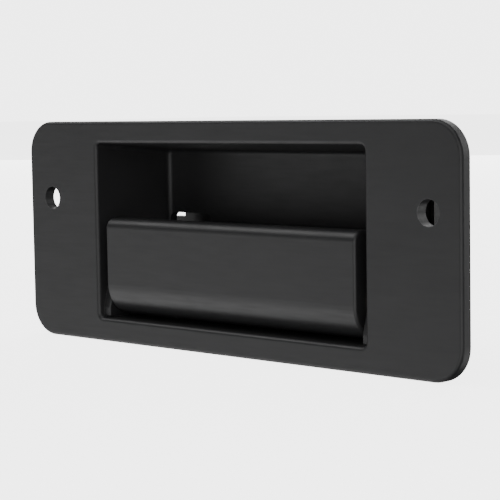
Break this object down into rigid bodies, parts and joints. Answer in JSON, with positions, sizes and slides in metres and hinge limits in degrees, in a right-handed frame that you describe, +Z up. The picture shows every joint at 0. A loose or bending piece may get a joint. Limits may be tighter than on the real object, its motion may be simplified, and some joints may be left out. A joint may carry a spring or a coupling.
{
  "type": "recessed paddle handle",
  "caption": "Flush-mounted recessed pull handle: flange with a finger pocket, hinged paddle, and a lever and bell crank behind it that pull a latch rod.",
  "frame": {"origin": "midway between the two panel screw holes, on the flange's back face that meets the panel", "axes": "+X to the right seen from the front, +Y into the panel, +Z up"},
  "size_m": [0.1778, 0.0499, 0.07],
  "materials": {
    "housing_plastic": "satin black glass-filled nylon, fine moulded grain",
    "paddle_plastic": "satin black glass-filled nylon, smoother than the housing",
    "seal_rubber": "black EPDM rubber",
    "bright_steel": "ground steel pin",
    "spring_steel": "oiled spring steel wire and strip",
    "coated_steel": "black electrocoated sheet steel",
    "zinc_steel": "bright zinc-plated steel",
    "bush_nylon": "natural nylon",
    "clip_nylon": "black nylon"
  },
  "bodies": {
    "housing": {"housing": "housing_plastic", "seal_ring": "seal_rubber", "pivot_pin": "bright_steel", "pin_clip": "spring_steel", "paddle_spring": "spring_steel", "rest_bumper": "seal_rubber", "rear_bracket": "coated_steel", "bracket_screws": "zinc_steel", "crank_stud": "zinc_steel", "stud_washer": "zinc_steel", "spring_cap": "zinc_steel", "crank_clip": "spring_steel", "crank_spring": "spring_steel"},
    "paddle": {"paddle": "paddle_plastic", "paddle_bush_left": "bush_nylon", "paddle_bush_right": "bush_nylon", "lever_arm": "coated_steel", "lever_screws": "zinc_steel"},
    "crank": {"bell_crank": "coated_steel", "crank_bush": "bush_nylon"},
    "rod_clip": {"rod_clip": "clip_nylon"}
  },
  "joints": [
    {"name": "paddle_hinge", "type": "hinge", "parent": "housing", "child": "paddle", "pos_m": [0, 0.0069, -0.0267], "axis": [1, 0, 0], "range_deg": [0, 32], "stiffness_Nm_per_rad": 0.12, "springref_deg": -57.3, "deforming": ["paddle_spring"]},
    {"name": "crank_hinge", "type": "hinge", "parent": "housing", "child": "crank", "pos_m": [-0.008, 0.0361, -0.0082], "axis": [0, 1, 0], "range_deg": [0, 30.2], "stiffness_Nm_per_rad": 0.006, "springref_deg": -45.84, "deforming": ["crank_spring"]},
    {"name": "rod_clip_swivel", "type": "hinge", "parent": "crank", "child": "rod_clip", "pos_m": [0.018, 0.0361, -0.0082], "axis": [0, 1, 0], "range_deg": [-40, 40]}
  ],
  "couplings": [
    {"joint": "crank_hinge", "follows": "paddle_hinge", "ratio": 0.94}
  ]
}
